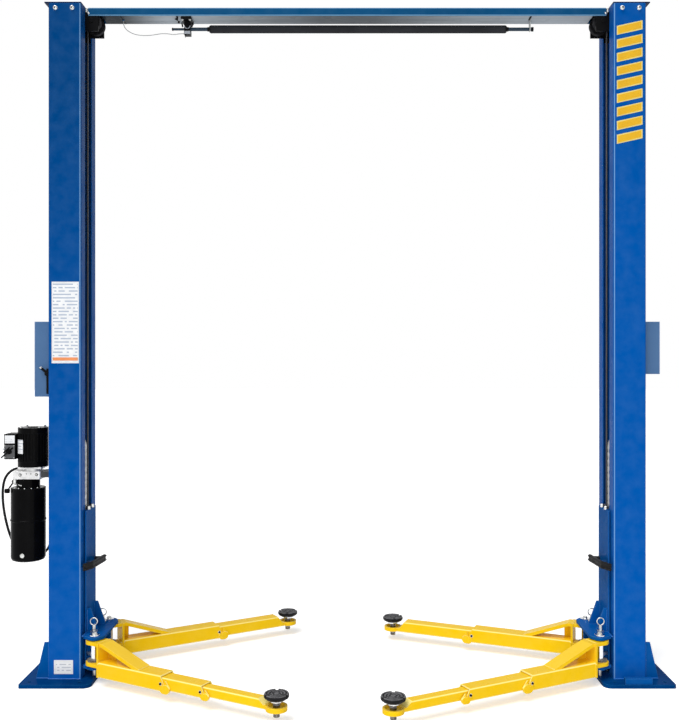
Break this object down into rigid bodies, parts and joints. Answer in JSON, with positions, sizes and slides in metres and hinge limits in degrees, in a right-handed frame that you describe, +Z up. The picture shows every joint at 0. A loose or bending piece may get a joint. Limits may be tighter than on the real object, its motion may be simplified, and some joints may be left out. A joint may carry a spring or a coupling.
{
  "type": "two post car lift",
  "caption": "Two post vehicle lift with an overhead beam, telescoping swing arms, round pads and a side power unit.",
  "frame": {"origin": "on the floor, midway between the two posts, at the undersides of the base plates", "axes": "+X from the left post to the right post, +Y away from the front of the lift, +Z up"},
  "size_m": [3.6401, 1.553, 3.606],
  "materials": {
    "blue_paint": "glossy blue enamel",
    "yellow_paint": "glossy yellow enamel",
    "chrome": "polished plating",
    "bare_steel": "zinc plated and oiled",
    "black_rubber": "moulded",
    "black_paint": "gloss black enamel",
    "foam": "closed cell foam",
    "cast_aluminium": "cast and machined",
    "slide_plastic": "slide block plastic",
    "hose_rubber": "smooth jacket"
  },
  "bodies": {
    "frame": {"base_plate_left": "blue_paint", "base_plate_right": "blue_paint", "column_left": "blue_paint", "column_right": "blue_paint", "base_gussets": "blue_paint", "top_caps": "blue_paint", "overhead_beam": "blue_paint", "beam_brackets": "blue_paint", "top_sheaves": "bare_steel", "bottom_sheaves": "bare_steel", "equaliser_cables": "bare_steel", "lift_cylinders": "black_paint", "chain_rollers": "bare_steel", "lift_chains": "bare_steel", "lock_cover_left": "blue_paint", "lock_cover_right": "blue_paint", "power_unit_tank": "black_paint", "power_unit_manifold": "cast_aluminium", "power_unit_motor": "black_paint", "power_unit_switch_box": "black_paint", "power_unit_bracket": "black_paint", "power_unit_hose": "hose_rubber", "limit_switch": "black_paint", "limit_switch_wire": "hose_rubber", "shutoff_bar_hanger": "bare_steel", "floor_stop": "blue_paint", "lowering_lever": "bare_steel"},
    "lifting_carriage_left": {"carriage_left": "blue_paint", "slide_blocks_left": "slide_plastic", "door_guard_left": "black_rubber", "arm_pins_left": "chrome"},
    "restraint_front_left": {"arm_restraint_front_left": "bare_steel"},
    "arm_front_left": {"front_arm_outer_left": "yellow_paint"},
    "arm_middle_front_left": {"front_arm_middle_left": "yellow_paint"},
    "arm_tip_front_left": {"front_arm_tip_left": "yellow_paint"},
    "lift_pad_front_left": {"front_pad_screw_left": "chrome", "front_pad_left": "black_rubber"},
    "restraint_rear_left": {"arm_restraint_rear_left": "bare_steel"},
    "arm_rear_left": {"rear_arm_outer_left": "yellow_paint"},
    "arm_tip_rear_left": {"rear_arm_tip_left": "yellow_paint"},
    "lift_pad_rear_left": {"rear_pad_screw_left": "chrome", "rear_pad_left": "black_rubber"},
    "lifting_carriage_right": {"carriage_right": "blue_paint", "slide_blocks_right": "slide_plastic", "door_guard_right": "black_rubber", "arm_pins_right": "chrome"},
    "restraint_front_right": {"arm_restraint_front_right": "bare_steel"},
    "arm_front_right": {"front_arm_outer_right": "yellow_paint"},
    "arm_middle_front_right": {"front_arm_middle_right": "yellow_paint"},
    "arm_tip_front_right": {"front_arm_tip_right": "yellow_paint"},
    "lift_pad_front_right": {"front_pad_screw_right": "chrome", "front_pad_right": "black_rubber"},
    "restraint_rear_right": {"arm_restraint_rear_right": "bare_steel"},
    "arm_rear_right": {"rear_arm_outer_right": "yellow_paint"},
    "arm_tip_rear_right": {"rear_arm_tip_right": "yellow_paint"},
    "lift_pad_rear_right": {"rear_pad_screw_right": "chrome", "rear_pad_right": "black_rubber"},
    "shutoff_bar": {"shutoff_rod": "bare_steel", "shutoff_foam": "foam"},
    "lock_release": {"release_handle": "black_paint"}
  },
  "joints": [
    {"name": "lift_left", "type": "slide", "parent": "frame", "child": "lifting_carriage_left", "axis": [0, 0, 1], "range_m": [0, 1.83]},
    {"name": "restraint_pull_front_left", "type": "slide", "parent": "lifting_carriage_left", "child": "restraint_front_left", "axis": [0, 0, 1], "range_m": [0, 0.02]},
    {"name": "arm_swing_front_left", "type": "hinge", "parent": "lifting_carriage_left", "child": "arm_front_left", "pos_m": [-1.336, -0.15, 0.15], "axis": [0, 0, 1], "range_deg": [-60, 18.3]},
    {"name": "arm_extend_front_left", "type": "slide", "parent": "arm_front_left", "child": "arm_middle_front_left", "axis": [0.8805, -0.4741, 0], "range_m": [-0.18, 0.136]},
    {"name": "tip_extend_front_left", "type": "slide", "parent": "arm_middle_front_left", "child": "arm_tip_front_left", "axis": [0.8805, -0.4741, 0], "range_m": [-0.294, 0.008]},
    {"name": "pad_height_front_left", "type": "slide", "parent": "arm_tip_front_left", "child": "lift_pad_front_left", "axis": [0, 0, 1], "range_m": [0, 0.03]},
    {"name": "restraint_pull_rear_left", "type": "slide", "parent": "lifting_carriage_left", "child": "restraint_rear_left", "axis": [0, 0, 1], "range_m": [0, 0.02]},
    {"name": "arm_swing_rear_left", "type": "hinge", "parent": "lifting_carriage_left", "child": "arm_rear_left", "pos_m": [-1.336, 0.15, 0.15], "axis": [0, 0, -1], "range_deg": [-58, 20.2]},
    {"name": "tip_extend_rear_left", "type": "slide", "parent": "arm_rear_left", "child": "arm_tip_rear_left", "axis": [0.8643, 0.503, 0], "range_m": [-0.35, 0.04]},
    {"name": "pad_height_rear_left", "type": "slide", "parent": "arm_tip_rear_left", "child": "lift_pad_rear_left", "axis": [0, 0, 1], "range_m": [0, 0.03]},
    {"name": "lift_right", "type": "slide", "parent": "frame", "child": "lifting_carriage_right", "axis": [0, 0, 1], "range_m": [0, 1.83]},
    {"name": "restraint_pull_front_right", "type": "slide", "parent": "lifting_carriage_right", "child": "restraint_front_right", "axis": [0, 0, 1], "range_m": [0, 0.02]},
    {"name": "arm_swing_front_right", "type": "hinge", "parent": "lifting_carriage_right", "child": "arm_front_right", "pos_m": [1.336, -0.15, 0.15], "axis": [0, 0, -1], "range_deg": [-61, 17]},
    {"name": "arm_extend_front_right", "type": "slide", "parent": "arm_front_right", "child": "arm_middle_front_right", "axis": [-0.891, -0.454, 0], "range_m": [-0.306, 0.01]},
    {"name": "tip_extend_front_right", "type": "slide", "parent": "arm_middle_front_right", "child": "arm_tip_front_right", "axis": [-0.891, -0.454, 0], "range_m": [-0.286, 0.016]},
    {"name": "pad_height_front_right", "type": "slide", "parent": "arm_tip_front_right", "child": "lift_pad_front_right", "axis": [0, 0, 1], "range_m": [0, 0.03]},
    {"name": "restraint_pull_rear_right", "type": "slide", "parent": "lifting_carriage_right", "child": "restraint_rear_right", "axis": [0, 0, 1], "range_m": [0, 0.02]},
    {"name": "arm_swing_rear_right", "type": "hinge", "parent": "lifting_carriage_right", "child": "arm_rear_right", "pos_m": [1.336, 0.15, 0.15], "axis": [0, 0, 1], "range_deg": [-65, 12.8]},
    {"name": "tip_extend_rear_right", "type": "slide", "parent": "arm_rear_right", "child": "arm_tip_rear_right", "axis": [-0.9219, 0.3875, 0], "range_m": [-0.38, 0.01]},
    {"name": "pad_height_rear_right", "type": "slide", "parent": "arm_tip_rear_right", "child": "lift_pad_rear_right", "axis": [0, 0, 1], "range_m": [0, 0.03]},
    {"name": "shutoff_bar_tilt", "type": "hinge", "parent": "frame", "child": "shutoff_bar", "pos_m": [-0.869, 0, 3.51], "axis": [0, -1, 0], "range_deg": [0, 0.6]},
    {"name": "lock_release_turn", "type": "hinge", "parent": "frame", "child": "lock_release", "pos_m": [-1.606, -0.08, 1.636], "axis": [0, 1, 0], "range_deg": [0, 20], "stiffness_Nm_per_rad": 3, "springref_deg": -17.19}
  ],
  "couplings": [
    {"joint": "lift_right", "follows": "lift_left", "ratio": 1}
  ]
}
